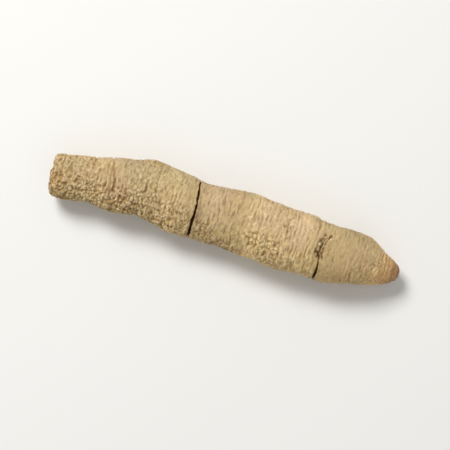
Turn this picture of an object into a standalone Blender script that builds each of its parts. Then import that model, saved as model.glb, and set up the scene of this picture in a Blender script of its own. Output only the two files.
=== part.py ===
"""A dried morinda root, lying on its side, as one closed solid.

The root is a slightly flattened, slightly curved cylinder. Its broken end is at -X and it
tapers to a blunt tip at +X. Rings of wrinkles run round it. One crack crosses it near the
middle, and a second one, with a rough scar above it, lies where the taper begins. All of
this is raised or cut by formula on the mesh of one sphere, whose rings are laid out along
the root.

Units are metres and +Z is up. The root rests on a small flat spot at Z = 0.
A station is a distance along the root from its broken end. An angle runs round the root
from its far edge (+Y), over the top at 90 degrees, to its near edge (-Y) at 180 degrees.
"""

import math
import random

import bmesh
import bpy
from mathutils import Vector, noise

NAME = "morinda_root"
MM = 0.001
SEED = 23
SIDES = 24

# Driving dimensions, in millimetres.
# The outline seen from above: station, far edge and near edge.
OUTLINE = (
    (1.2, 5.3, -5.4),
    (6.0, 6.0, -5.6),
    (10.5, 6.85, -4.7),
    (15.8, 8.3, -5.2),
    (20.8, 9.4, -5.2),
    (24.0, 10.5, -4.9),
    (28.0, 10.1, -4.9),
    (31.5, 9.6, -5.6),
    (38.0, 8.9, -5.9),
    (41.5, 9.0, -6.3),
    (45.0, 9.3, -5.7),
    (51.0, 9.5, -6.3),
    (56.0, 8.8, -6.6),
    (60.5, 8.8, -6.9),
    (66.0, 8.6, -6.7),
    (70.2, 7.7, -6.9),
    (75.1, 7.7, -6.1),
    (80.1, 7.4, -4.9),
    (82.6, 6.7, -4.2),
    (85.0, 5.1, -3.6),
    (89.0, 3.3, -2.1),
)
HEIGHT_TO_WIDTH = 0.86
SECTION_SQUARENESS = 0.93
# Station and height of the underside. Below zero it is pressed flat.
UNDERSIDE = (
    (0.0, 1.2),
    (12.0, 0.7),
    (26.0, 0.15),
    (38.0, -0.4),
    (54.0, -0.4),
    (66.0, 0.1),
    (76.0, 0.7),
    (85.0, 1.8),
    (90.5, 2.9),
)
# The two end faces: station, and the part of the whole section reached there.
BROKEN_END = (
    (1.25, 0.0),
    (1.15, 0.12),
    (0.6, 0.22),
    (0.2, 0.36),
    (0.0, 0.6),
    (0.05, 0.8),
    (0.15, 0.92),
    (0.5, 0.98),
)
TIP_END = (
    (89.7, 0.93),
    (90.2, 0.76),
    (90.45, 0.45),
    (90.5, 0.0),
)

# Rings of wrinkles: the shortest and longest distance between two, and their height.
WRINKLE_PITCH = (1.75, 2.25)
WRINKLE_HEIGHT = 0.34
WRINKLE_ROWS = ((0.0, 0.0), (0.25, 0.75), (0.5, 1.0), (0.75, 0.75))
WRINKLE_STRENGTH = ((2.0, 0.5), (16.0, 0.9), (40.0, 1.0), (64.0, 0.9), (76.0, 0.45), (89.0, 0.6))
# Where a wrinkle's relief is zero, as a part of its rise.
WRINKLE_LEVEL = 0.6
# A wrinkle fades in and out round the root: its mean strength, its swing and its least.
WRINKLE_FADE = (0.6, 0.9, 0.1)
WRINKLE_FADE_LENGTH = 6.0
# Rings wander along the root, by up to about this much.
RING_BEND = 0.8
RING_BEND_LENGTH = 14.0
RING_BEND_ENDS = (10.0, 8.0)
# Broad lumps, and a coarse grain where the skin is pebbly.
LUMP_HEIGHT = 0.55
LUMP_LENGTH = 9.0
LUMP_STRENGTH = ((2.0, 0.7), (12.0, 1.0), (74.0, 1.0), (86.0, 0.2), (90.5, 0.0))
GRAIN_HEIGHT = 0.16
GRAIN_LENGTH = 1.9
GRAIN_STRENGTH = ((2.0, 1.0), (18.0, 0.9), (34.0, 0.5), (50.0, 0.8), (62.0, 0.6), (74.0, 0.0))
# How many spots of noise fit across the root, over pi.
NOISE_TURN = 1.2

# Cracks and grooves: half their width, and a path of angle, station and depth.
CRACKS = {
    "main crack": (
        0.4,
        (
            (-75, 37.2, 0.0),
            (-35, 36.5, 1.5),
            (0, 36.6, 2.0),
            (45, 37.0, 2.2),
            (90, 37.5, 2.2),
            (140, 37.5, 2.1),
            (180, 37.3, 2.0),
            (215, 37.6, 1.4),
            (250, 37.3, 0.0),
        ),
    ),
    "scarred crack": (
        0.35,
        (
            (35, 70.8, 0.0),
            (58, 70.5, 0.45),
            (78, 69.3, 0.5),
            (92, 69.7, 1.1),
            (104, 69.9, 0.6),
            (120, 70.0, 1.4),
            (155, 69.9, 1.6),
            (185, 69.7, 1.5),
            (215, 70.0, 0.8),
            (240, 70.3, 0.0),
        ),
    ),
}
GROOVES = {
    "slanting groove": (
        0.5,
        ((-15, 14.8, 0.0), (15, 15.1, 0.55), (60, 16.5, 0.65), (93, 17.3, 0.45), (130, 18.0, 0.0)),
    ),
    "groove at the broken end": (
        0.5,
        ((-30, 10.4, 0.0), (5, 10.3, 0.5), (55, 10.6, 0.35), (105, 11.0, 0.0)),
    ),
    "notch in the near edge": (
        0.5,
        ((135, 23.8, 0.0), (170, 23.5, 0.6), (195, 23.4, 0.6), (230, 23.2, 0.0)),
    ),
    "fold in the near flank": (
        0.5,
        ((105, 30.9, 0.0), (135, 30.5, 0.4), (165, 30.2, 0.5), (205, 30.7, 0.0)),
    ),
    "step before the scar": (
        0.6,
        ((-25, 67.9, 0.0), (10, 68.0, 0.4), (45, 68.2, 0.25), (75, 68.4, 0.0)),
    ),
    "crease on the taper": (
        0.45,
        ((110, 78.4, 0.0), (150, 78.6, 0.4), (180, 78.7, 0.4), (220, 78.9, 0.0)),
    ),
    "crease at the tip": (
        0.45,
        ((20, 86.7, 0.0), (80, 87.0, 0.2), (150, 87.2, 0.2), (200, 87.4, 0.0)),
    ),
}
# Across a cut, in half widths: the rings laid on a crack, its flat floor and its lip.
CRACK_ROWS = (-2.0, -1.2, -0.85, -0.4, 0.0, 0.4, 0.85, 1.2, 2.0)
CRACK_FLOOR = 0.4
CRACK_LIP = 1.2
GROOVE_FLOOR = 0.0
GROOVE_LIP = 1.5
# Rings bend to follow a crack within this reach, and keep this clear of the rings on it.
CRACK_REACH = 8.0
CRACK_CLEARANCE = 0.22

# The skin seen in daylight, as linear colour.
BARK_COLOUR = (0.485, 0.342, 0.171, 1.0)
BARK_ROUGHNESS = 0.9
SHARP_ANGLE = math.radians(55.0)


def smooth_row(rows, at):
    """Reads a smooth curve through rows of (position, value, value...), as a list of values."""
    last = len(rows) - 1
    if at <= rows[0][0]:
        return list(rows[0][1:])
    if at >= rows[last][0]:
        return list(rows[last][1:])
    index = 0
    while rows[index + 1][0] < at:
        index += 1
    before, start = rows[max(index - 1, 0)], rows[index]
    end, after = rows[index + 1], rows[min(index + 2, last)]
    step = end[0] - start[0]
    t = (at - start[0]) / step
    values = []
    for k in range(1, len(start)):
        slope_in = (end[k] - before[k]) / (end[0] - before[0]) * step
        slope_out = (after[k] - start[k]) / (after[0] - start[0]) * step
        value = (2 * t**3 - 3 * t**2 + 1) * start[k] + (t**3 - 2 * t**2 + t) * slope_in
        value += (-2 * t**3 + 3 * t**2) * end[k] + (t**3 - t**2) * slope_out
        values.append(value)
    return values


def smooth_step(low, high, x):
    """Rises from 0 at low to 1 at high, with level ends."""
    t = min(max((x - low) / (high - low), 0.0), 1.0)
    return t * t * (3.0 - 2.0 * t)


def skin_noise(station, angle, length, offset):
    """Smooth noise on the skin, of about -1 to 1, that closes on itself round the root."""
    turn = math.radians(angle)
    place = Vector((station / length, NOISE_TURN * math.cos(turn), NOISE_TURN * math.sin(turn)))
    return noise.noise(place + offset)


def fine_noise(point, length, offset):
    """Noise with spots of the given length on the skin, read at a point in millimetres."""
    return noise.noise(point / length + offset)


def path_at(path, angle):
    """Station and depth of a crack or groove at an angle. Past its ends the depth is zero."""
    turned = angle
    if turned > path[-1][0] and turned - 360.0 >= path[0][0]:
        turned -= 360.0
    station, depth = smooth_row(path, turned)
    return station, max(depth, 0.0)


def crack_middle(path):
    """The station that a crack's rings are laid out from, before they bend to follow it."""
    return path_at(path, 90.0)[0]


def cut_depth(cuts, station, angle, floor, lip):
    """How deep the cuts reach at a place: full depth out to floor, nothing past lip."""
    total = 0.0
    for half_width, path in cuts.values():
        middle, depth = path_at(path, angle)
        across = abs(station - middle) / half_width
        total = max(total, depth * (1.0 - smooth_step(floor, lip, across)))
    return total


def ring_stations(draw):
    """Stations of the rings between the two ends, each with the height of its wrinkle."""
    station, end = OUTLINE[0][0], OUTLINE[-1][0]
    rings = []
    while station < end - WRINKLE_PITCH[0]:
        pitch = draw.uniform(*WRINKLE_PITCH)
        rings += [(station + part * pitch, rise) for part, rise in WRINKLE_ROWS]
        station += pitch
    rings.append((end, 0.0))
    for half_width, path in CRACKS.values():
        middle = crack_middle(path)
        reach = CRACK_ROWS[-1] * half_width + CRACK_CLEARANCE
        rings = [ring for ring in rings if abs(ring[0] - middle) >= reach]
        rings += [(middle + row * half_width, WRINKLE_LEVEL) for row in CRACK_ROWS]
    return sorted(rings)


def root_rows(draw):
    """Every ring from the broken end to the tip: station, part of the section, wrinkle height."""
    rows = [(station, part, 0.0) for station, part in BROKEN_END]
    rows += [(station, 1.0, rise) for station, rise in ring_stations(draw)]
    rows += [(station, part, 0.0) for station, part in TIP_END]
    return rows


def bent_station(station, angle, offset):
    """Moves a ring along the root, so that rings wander a little and follow the cracks."""
    shift = 0.0
    free = 1.0
    for _, path in CRACKS.values():
        middle = crack_middle(path)
        hold = 1.0 - smooth_step(0.0, CRACK_REACH, abs(station - middle))
        shift += hold * (path_at(path, angle)[0] - middle)
        free -= hold
    ends = smooth_step(0.0, RING_BEND_ENDS[0], station)
    ends *= smooth_step(0.0, RING_BEND_ENDS[1], TIP_END[-1][0] - station)
    wander = RING_BEND * skin_noise(station, angle, RING_BEND_LENGTH, offset)
    return station + shift + max(free, 0.0) * ends * wander


def surface_point(row, angle, offsets):
    """The place on the root, in millimetres, of one ring's point at an angle."""
    ring_station, part, wrinkle = row
    station = bent_station(ring_station, angle, offsets[0]) if part == 1.0 else ring_station
    far, near = smooth_row(OUTLINE, station)
    half_width = (far - near) / 2.0
    half_height = half_width * HEIGHT_TO_WIDTH
    underside = smooth_row(UNDERSIDE, station)[0]
    turn = math.radians(angle)
    across, up = math.cos(turn), math.sin(turn)
    square_across = math.copysign(abs(across) ** SECTION_SQUARENESS, across)
    square_up = math.copysign(abs(up) ** SECTION_SQUARENESS, up)
    middle = Vector((station, (far + near) / 2.0, underside + half_height))
    spoke = Vector((0.0, half_width * square_across, half_height * square_up))

    lump = skin_noise(station, angle, LUMP_LENGTH, offsets[1])
    relief = LUMP_HEIGHT * lump * smooth_row(LUMP_STRENGTH, station)[0]
    mean, swing, least = WRINKLE_FADE
    fade = mean + swing * skin_noise(station, angle, WRINKLE_FADE_LENGTH, offsets[2])
    fade = min(max(fade, least), 1.0) * smooth_row(WRINKLE_STRENGTH, station)[0]
    relief += WRINKLE_HEIGHT * (wrinkle - WRINKLE_LEVEL) * fade
    grain = fine_noise(middle + spoke, GRAIN_LENGTH, offsets[3])
    relief += GRAIN_HEIGHT * grain * smooth_row(GRAIN_STRENGTH, station)[0]
    relief -= cut_depth(CRACKS, station, angle, CRACK_FLOOR, CRACK_LIP)
    relief -= cut_depth(GROOVES, station, angle, GROOVE_FLOOR, GROOVE_LIP)

    point = middle + spoke * part + Vector((0.0, across, up)) * relief * part
    point.z = max(point.z, 0.0)
    return point


def make_root_mesh():
    """Lays a sphere's rings out along the root and shapes them, as one closed mesh."""
    draw = random.Random(SEED)
    rows = root_rows(draw)
    offsets = [Vector([draw.uniform(-50.0, 50.0) for _ in range(3)]) for _ in range(4)]
    bands = len(rows) - 1
    shape = bmesh.new()
    bmesh.ops.create_uvsphere(shape, u_segments=SIDES, v_segments=bands, radius=1.0)
    for vertex in shape.verts:
        height = math.atan2(vertex.co.z, math.hypot(vertex.co.x, vertex.co.y))
        row = rows[round((height / math.pi + 0.5) * bands)]
        angle = math.degrees(math.atan2(vertex.co.y, vertex.co.x))
        if angle < -90.0:
            angle += 360.0
        vertex.co = surface_point(row, angle, offsets) * MM
    stand_at_origin(shape)
    bmesh.ops.recalc_face_normals(shape, faces=shape.faces)
    mesh = bpy.data.meshes.new(NAME)
    shape.to_mesh(mesh)
    shape.free()
    mesh.shade_smooth()
    mesh.set_sharp_from_angle(angle=SHARP_ANGLE)
    return mesh


def stand_at_origin(shape):
    """Moves the mesh so that the bottom centre of its bounding box is at the origin."""
    xs = [vertex.co.x for vertex in shape.verts]
    ys = [vertex.co.y for vertex in shape.verts]
    zs = [vertex.co.z for vertex in shape.verts]
    centre = Vector(((min(xs) + max(xs)) / 2.0, (min(ys) + max(ys)) / 2.0, min(zs)))
    bmesh.ops.translate(shape, verts=shape.verts, vec=-centre)


def make_bark():
    """The dull, dusty tan skin."""
    bark = bpy.data.materials.new("bark")
    bark.use_nodes = True
    surface = bark.node_tree.nodes["Principled BSDF"]
    surface.inputs["Base Color"].default_value = BARK_COLOUR
    surface.inputs["Roughness"].default_value = BARK_ROUGHNESS
    surface.inputs["Metallic"].default_value = 0.0
    return bark


def clear_scene():
    """Removes whatever the open file holds."""
    for item in list(bpy.data.objects):
        bpy.data.objects.remove(item, do_unlink=True)


def main():
    clear_scene()
    collection = bpy.data.collections.new(NAME)
    bpy.context.scene.collection.children.link(collection)
    root = bpy.data.objects.new(NAME, make_root_mesh())
    root.data.materials.append(make_bark())
    collection.objects.link(root)
    size = [round(side / MM, 2) for side in root.dimensions]
    print(f"{NAME}: {len(root.data.polygons)} faces, {size} mm")


main()
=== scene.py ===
# %% [markdown]
# # A dried morinda root
#
# Morinda root is a dried root that is used as a herb. This script dresses one of them. The
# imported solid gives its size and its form: a slightly flattened, slightly curved cylinder
# with a broken end and a blunt tapering tip. It already carries the cracks and rings of
# wrinkles that show from a step away. Here we grow a much finer skin in the same place, and
# paint it with a material that is worked out by formula, with no pictures.

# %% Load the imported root
import math

import bpy
import numpy as np
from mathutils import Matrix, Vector


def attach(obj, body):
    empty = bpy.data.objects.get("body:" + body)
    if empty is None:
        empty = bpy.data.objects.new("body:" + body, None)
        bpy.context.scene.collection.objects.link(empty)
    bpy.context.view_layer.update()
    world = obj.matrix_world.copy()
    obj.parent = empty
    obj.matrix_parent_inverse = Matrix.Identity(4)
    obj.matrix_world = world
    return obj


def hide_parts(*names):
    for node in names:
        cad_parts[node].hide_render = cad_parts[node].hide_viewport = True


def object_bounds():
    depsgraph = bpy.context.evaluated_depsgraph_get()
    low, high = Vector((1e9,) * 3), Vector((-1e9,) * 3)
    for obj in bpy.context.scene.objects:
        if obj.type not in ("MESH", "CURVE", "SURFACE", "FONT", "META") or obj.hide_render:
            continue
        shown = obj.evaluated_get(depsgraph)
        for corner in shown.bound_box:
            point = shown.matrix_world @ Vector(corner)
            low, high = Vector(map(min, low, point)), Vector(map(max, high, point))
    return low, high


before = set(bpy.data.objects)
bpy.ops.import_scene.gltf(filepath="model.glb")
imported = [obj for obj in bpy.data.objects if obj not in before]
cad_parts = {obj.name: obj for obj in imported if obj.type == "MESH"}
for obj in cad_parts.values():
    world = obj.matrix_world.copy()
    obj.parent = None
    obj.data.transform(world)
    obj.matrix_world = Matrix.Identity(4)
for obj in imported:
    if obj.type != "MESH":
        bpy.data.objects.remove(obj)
cad_low, cad_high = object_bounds()
MM = 0.001
NODE = "morinda_root"
size_mm = [round(side / MM, 2) for side in cad_high - cad_low]
print("packed root:", size_mm, "mm")

# %% [markdown]
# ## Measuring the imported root
#
# The fine skin has to lie where the solid is, so we don't type its outline in again. We cut
# the solid with planes across its length and note where each cut reaches furthest: far (+Y),
# near (-Y), up and down. The places of the two cracks are left out, because there a plane
# would measure the bottom of the crack.
#
# A station is a distance in millimetres along the root from its broken end. An angle runs
# round the root from the far side, over the top at 90 degrees, to the near side at 180.

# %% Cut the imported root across
LENGTH = (cad_high.x - cad_low.x) / MM
MEASURE_STEP = 0.5
MEASURED_FROM = 1.5
TIP_LEFT_OUT = 1.1
CRACK_MARGIN = 1.3
CRACK_STATIONS = (37.3, 69.9)


def to_nearest_crack(station):
    """How far a station is from the nearer of the two cracks."""
    return min(abs(station - crack) for crack in CRACK_STATIONS)


def triangle_edges(mesh):
    """The two ends of every triangle's edges, as stations and heights in millimetres."""
    mesh.calc_loop_triangles()
    places = np.array([vertex.co for vertex in mesh.vertices]) / MM
    places[:, 0] -= cad_low.x / MM
    corners = np.array([triangle.vertices for triangle in mesh.loop_triangles])
    starts = places[corners.ravel()]
    ends = places[np.roll(corners, -1, axis=1).ravel()]
    return starts, ends


def cut_across(starts, ends, station):
    """Far, near, top and bottom of the solid where a plane crosses it."""
    crossing = (starts[:, 0] - station) * (ends[:, 0] - station) < 0
    a, b = starts[crossing], ends[crossing]
    share = ((station - a[:, 0]) / (b[:, 0] - a[:, 0]))[:, None]
    cut = a + (b - a) * share
    return cut[:, 1].max(), cut[:, 1].min(), cut[:, 2].max(), cut[:, 2].min()


starts, ends = triangle_edges(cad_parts[NODE].data)
measured_at = [
    station
    for station in np.arange(MEASURED_FROM, LENGTH - TIP_LEFT_OUT, MEASURE_STEP)
    if to_nearest_crack(station) > CRACK_MARGIN
]
measured = np.array([cut_across(starts, ends, station) for station in measured_at])
widest = float((measured[:, 0] - measured[:, 1]).max())
print(len(measured), "cuts; widest", round(widest, 2), "mm")

# %% [markdown]
# ## One point for each ring
#
# The skin will be a tube of rings. Rings are 0.2 mm apart, which is fine enough for the
# pebbles of the skin, and closer at the cracks, whose walls are steep. The two ends are
# closed by rings that shrink to a point. The broken end is a shallow hollow with a rim, and
# the tip is a blunt nose, so each has its own profile: how much of the section a ring spans,
# and at which station it lies. The last ring of the side stops a little before the nose,
# because two rings that nearly touch leave a dark line.

# %% Lay out the rings
RING_STEP = 0.205
CRACK_RING_STEP = 0.1
CRACK_RING_REACH = 1.3
LAST_RING_GAP = 1.5
# Profiles of the two ends: the share of the section that a ring spans, and its station.
BROKEN_FACE = (
    (0.0, 1.25), (0.12, 1.15), (0.22, 0.7), (0.36, 0.35), (0.6, 0.2), (0.8, 0.26), (0.91, 0.5),
    (0.97, 0.9), (1.0, 1.6),
)
TIP_FACE = (
    (1.0, 88.0), (0.97, 88.5), (0.91, 88.95), (0.81, 89.4), (0.66, 89.83), (0.48, 90.15),
    (0.26, 90.38), (0.0, 90.48),
)
FACE_RINGS = 42
TIP_FACE_RINGS = 22


def side_stations(start, end):
    """Stations of the rings between the two ends, close together at the cracks."""
    stations = [start]
    while stations[-1] < end - LAST_RING_GAP * RING_STEP:
        at_crack = to_nearest_crack(stations[-1]) < CRACK_RING_REACH
        stations.append(stations[-1] + (CRACK_RING_STEP if at_crack else RING_STEP))
    return stations[1:]


def face_rings(profile, count):
    """Rings across an end face: how much of the section each spans, and its station."""
    reach = np.linspace(0.0, 1.0, count)
    along = np.linspace(0.0, 1.0, len(profile))
    parts = np.interp(reach, along, [part for part, _ in profile])
    order = np.argsort([part for part, _ in profile])
    known = np.array(profile)[order]
    stations = np.interp(parts, known[:, 0], known[:, 1])
    return list(zip(parts, stations))


broken_rings = face_rings(BROKEN_FACE, FACE_RINGS)
tip_rings = face_rings(TIP_FACE, TIP_FACE_RINGS)
side_rings = [(1.0, station) for station in side_stations(BROKEN_FACE[-1][1], TIP_FACE[0][1])]
rings = np.array(broken_rings + side_rings + tip_rings)
print(len(rings), "rings")

# %% [markdown]
# ## The section of each ring
#
# A ring has to know how far the root reaches on its four sides. The cuts hold the solid's
# own coarse wrinkles too, so they are smoothed first. A plain average would flatten the
# taper. Instead a straight line is fitted to the neighbours of each cut, the nearer ones
# counting for more, and the line's height there is taken. Each ring is one point of a chain,
# and the chain carries what the ring needs as attributes.

# %% Give each ring its section
SMOOTH_REACH = 1.1


def smoothed(values, stations, reach):
    """The height of a straight line fitted to each value's neighbours within about the reach."""
    apart = stations[None, :] - stations[:, None]
    weight = np.exp(-0.5 * (apart / reach) ** 2)
    count, lean, spread = (np.sum(weight * apart**power, axis=1) for power in (0, 1, 2))
    level, slope = weight @ values, (weight * apart) @ values
    return (spread * level - lean * slope) / (count * spread - lean * lean)


def section_edges(stations):
    """Far, near, top and bottom of the smooth root at each station."""
    soft = [smoothed(column, np.array(measured_at), SMOOTH_REACH) for column in measured.T]
    return [np.interp(stations, measured_at, column) for column in soft]


edges = section_edges(rings[:, 1])
chain = bpy.data.meshes.new("ring chain")
chain.from_pydata([(0, 0, 0)] * len(rings), [(k, k + 1) for k in range(len(rings) - 1)], [])
ring_values = (rings[:, 0], rings[:, 1], *edges)
for name, values in zip(("part", "station", "far", "near", "top", "bottom"), ring_values):
    attribute = chain.attributes.new(name, "FLOAT", "POINT")
    attribute.data.foreach_set("value", np.asarray(values, np.float32))
middle_section = [round(float(edge[len(rings) // 2]), 2) for edge in edges]
print("far, near, top and bottom of the middle ring:", middle_section)

# %% [markdown]
# ## Formulas made of nodes
#
# Geometry Nodes and material nodes share the same maths, noise and cell textures. We wrap a
# node's output in a small class, so that a formula is written as one: `a + b * c` adds the
# nodes and joins them. The same function can then shape the mesh and colour the material,
# and the two agree: a dark crease in the colour lies in a crease of the mesh.
#
# Noise has no seed of its own here. Where two patterns must differ, one of them is read at a
# place that was moved some millimetres away, and the length of that move is its seed. A step
# then turns noise into soft patches: nothing below its low value, all of it above its high.

# %% A field that writes nodes
# The curves that run along the root go from the first of these stations to the second.
STATIONS = (0.0, 90.5)


def join(tree, value, socket):
    """Feeds a socket from a field, or sets it to a plain value."""
    if isinstance(value, Field):
        tree.links.new(value.socket, socket)
    else:
        socket.default_value = value


def add_node(tree, kind, inputs=(), output=0, **settings):
    """Adds a node, sets it up, feeds its inputs and returns one of its outputs."""
    node = tree.nodes.new(kind)
    for name, value in settings.items():
        setattr(node, name, value)
    for place, value in dict(inputs).items():
        join(tree, value, node.inputs[place])
    return Field(tree, node.outputs[output])


class Field:
    """A value in a node tree. Sums and products of fields add the nodes they need."""

    def __init__(self, tree, socket):
        self.tree = tree
        self.socket = socket

    def maths(self, operation, *others):
        return add_node(self.tree, "ShaderNodeMath", enumerate((self, *others)), operation=operation)

    def __add__(self, other):
        return self.maths("ADD", other)

    def __sub__(self, other):
        return self.maths("SUBTRACT", other)

    def __mul__(self, other):
        return self.maths("MULTIPLY", other)

    def __truediv__(self, other):
        return self.maths("DIVIDE", other)

    def __pow__(self, other):
        return self.maths("POWER", other)

    def size(self):
        return self.maths("ABSOLUTE")

    def least(self, other):
        return self.maths("MINIMUM", other)

    def most(self, other):
        return self.maths("MAXIMUM", other)

    def step(self, low, high, start=0.0, end=1.0):
        """Goes smoothly from start to end while the field goes from low to high."""
        inputs = {"Value": self, "From Min": low, "From Max": high, "To Min": start, "To Max": end}
        return add_node(self.tree, "ShaderNodeMapRange", inputs, interpolation_type="SMOOTHSTEP")

    def axis(self, number):
        return add_node(self.tree, "ShaderNodeSeparateXYZ", {0: self}, number)


def vector(x, y, z):
    """Joins three fields into a vector."""
    return add_node(x.tree, "ShaderNodeCombineXYZ", {0: x, 1: y, 2: z})


def vector_maths(operation, first, second):
    """Adds, multiplies or compares two vectors, axis by axis."""
    inputs = {0: first, 1: second}
    return add_node(first.tree, "ShaderNodeVectorMath", inputs, operation=operation)


def moved(place, x, y, z):
    """A place moved by three fields or numbers."""
    shift = add_node(place.tree, "ShaderNodeCombineXYZ", {0: x, 1: y, 2: z})
    return vector_maths("ADD", place, shift)


def stretched(place, x, y, z):
    """A place scaled by a number along each axis."""
    return vector_maths("MULTIPLY", place, (x, y, z))


def scaled(arrow, amount):
    """A vector or a colour, made longer or brighter by a factor."""
    inputs = {0: arrow, "Scale": amount}
    return add_node(arrow.tree, "ShaderNodeVectorMath", inputs, operation="SCALE")


def length(arrow):
    """How long a vector is."""
    return add_node(arrow.tree, "ShaderNodeVectorMath", {0: arrow}, "Value", operation="LENGTH")


def noise(place, scale, detail=1.0, roughness=0.5):
    """Smooth noise, mostly between -0.5 and 0.5, with spots about 1 / scale across."""
    inputs = {"Vector": place, "Scale": scale, "Detail": detail, "Roughness": roughness}
    return add_node(place.tree, "ShaderNodeTexNoise", inputs) * 2.0 - 1.0


def shaken(place, scale, detail, reach):
    """A place pushed about by noise, so that a round spot gets an uneven outline."""
    along = noise(place, scale, detail) * reach
    across = noise(moved(place, 3.0, 0.0, 0.0), scale, detail) * reach
    return moved(place, along, across, 0.0)


def cells(place, output):
    """Cells about 1 across: the distance to the nearest middle, or a random colour for each."""
    return add_node(place.tree, "ShaderNodeTexVoronoi", {"Vector": place, "Scale": 1.0}, output)


def curve_of(value, points, low, high, top=1.0):
    """Reads a smooth curve through points of (position, height) as nodes."""
    share = (value - low) / (high - low)
    node = value.tree.nodes.new("ShaderNodeFloatCurve")
    line = node.mapping.curves[0]
    while len(line.points) < len(points):
        line.points.new(0.5, 0.5)
    for point, (position, height) in zip(line.points, points):
        point.location = ((position - low) / (high - low), height / top)
    node.mapping.update()
    join(value.tree, share, node.inputs["Value"])
    return Field(value.tree, node.outputs[0]) * top


def along_root(station, points, top=1.0):
    """Reads a curve that runs from the broken end to the tip."""
    return curve_of(station, points, *STATIONS, top)


print("fields are ready, for stations from", STATIONS[0], "to", STATIONS[1], "mm")

# %% [markdown]
# ## The skin's relief
#
# Close up, the skin of a dried morinda root is two things at once. Fine wrinkles run round
# it, because the root shrank along its length, and the skin between them is pebbly.
#
# A wrinkle is one hump of a wave that runs along the root. The wave is taken without its
# sign, which gives rounded folds with sharp valleys between them. Noise shifts the wave, so
# that the folds wander, split and merge, and fades it here and there. Shorter folds are plain
# noise, drawn out round the root. The pebbles are cells, a little longer round the root than
# along it. Small pits, a few longer creases and short flecks of flaky skin complete it. Two
# masks say how pebbly and how wrinkled each place is.

# %% Relief of the skin, for the mesh and for the material
WRINKLE_DEPTH = 0.28
WRINKLE_PITCH = 1.08
WRINKLE_WANDER = 1.5
LONG_SHARE = 0.65
CREASE_DEPTH = 0.12
CREASE_PITCH = 2.7
CREASE_WANDER = 2.2
CREASE_SEED = 43.0
SLOW_SCALE = 0.12
QUICK_WANDER = 0.5
PEBBLE_DEPTH = 0.38
PEBBLE_SHAKE = 0.3
PEBBLE_SHAKE_SCALE = 1.6
PEBBLE_UNEVEN = 0.2
PEBBLE_FALL = 1.2
PIT_DEPTH = 0.16
PIT_ROUGHNESS = 0.6
LEAST_PITS = 0.4
FLECK_ROUGHNESS = 0.7
# How many times a millimetre along, across and up counts when a pattern is read. Less across
# and up than along makes it longer round the root.
LONG_FOLDS = (0.6, 0.3, 0.3)
SHORT_FOLDS = (1.3, 0.42, 0.42)
CREASE_AREAS = (0.3, 0.14, 0.14)
PEBBLE_SHAPE = (1.75, 1.25, 1.25)
PIT_SHAPE = (2.1, 1.4, 1.4)
FLECK_SHAPE = (1.7, 0.75, 0.75)


def ring_folds(place, pitch, wander, seed):
    """Rounded folds that run round the root, one for each pitch, with sharp valleys at 0."""
    slow = noise(moved(place, seed, 0.0, 0.0), SLOW_SCALE) * wander
    quick = noise(stretched(moved(place, 0.0, seed, 0.0), *LONG_FOLDS), 1.0) * QUICK_WANDER
    turns = (place.axis(0) + slow + quick) * (math.pi / pitch)
    return turns.maths("SINE").size()


def wrinkle_folds(place):
    """1 on the crest of a wrinkle, 0 in the valley beside it."""
    rings = ring_folds(place, WRINKLE_PITCH, WRINKLE_WANDER, 0.0)
    strong = noise(stretched(moved(place, 8.0, 0.0, 0.0), *LONG_FOLDS), 1.0, 2.0).step(-0.35, 0.35)
    short = noise(stretched(place, *SHORT_FOLDS), 1.0, 2.0).step(-0.4, 0.3)
    long = rings * strong - strong + 1.0
    return long * LONG_SHARE + short * (1.0 - LONG_SHARE)


def long_creases(place):
    """1 in the few narrow creases that run part of the way round."""
    narrow = ring_folds(place, CREASE_PITCH, CREASE_WANDER, CREASE_SEED).step(0.0, 0.35, 1.0, 0.0)
    here = noise(stretched(moved(place, 31.0, 0.0, 0.0), *CREASE_AREAS), 1.0)
    return narrow * here.step(0.1, 0.35)


def pebble_place(place):
    """The place as the pebbles read it: pushed about a little, and drawn out round the root."""
    along = noise(place, PEBBLE_SHAKE_SCALE) * PEBBLE_SHAKE
    up = noise(moved(place, 9.0, 0.0, 0.0), PEBBLE_SHAKE_SCALE) * PEBBLE_SHAKE
    return stretched(moved(place, along, 0.0, up), *PEBBLE_SHAPE)


def pebbles(place):
    """1 on the top of a pebble, 0 in the hollows between pebbles."""
    apart = cells(pebble_place(place), "Distance") + noise(place, 1.0, 2.0) * PEBBLE_UNEVEN
    return (apart * apart * -PEBBLE_FALL + 1.0).most(0.0)


def pits(place):
    """1 in small dark pits of uneven shape, here and there."""
    spots = noise(stretched(place, *PIT_SHAPE), 1.0, 1.0, PIT_ROUGHNESS).step(0.32, 0.56)
    pitted_areas = noise(moved(place, 0.0, 0.0, 17.0), 0.3).step(-0.15, 0.25)
    return spots * pitted_areas


def flecks(place):
    """Short streaks round the root, about -0.5 to 0.5: thin flakes above 0 and hollows below."""
    return noise(stretched(moved(place, 0.0, 60.0, 0.0), *FLECK_SHAPE), 1.0, 2.0, FLECK_ROUGHNESS)


def skin_relief(place, pebbly, wrinkled):
    """How far the skin lies below its highest folds, in millimetres and below zero."""
    relief = (wrinkle_folds(place) - 1.0) * WRINKLE_DEPTH * wrinkled
    relief += (pebbles(place) - 1.0) * PEBBLE_DEPTH * pebbly
    relief -= long_creases(place) * CREASE_DEPTH * wrinkled
    return relief - pits(place) * PIT_DEPTH * (pebbly * (1.0 - LEAST_PITS) + LEAST_PITS)


print("skin: wrinkles", WRINKLE_DEPTH, "mm and pebbles", PEBBLE_DEPTH, "mm deep")

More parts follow.
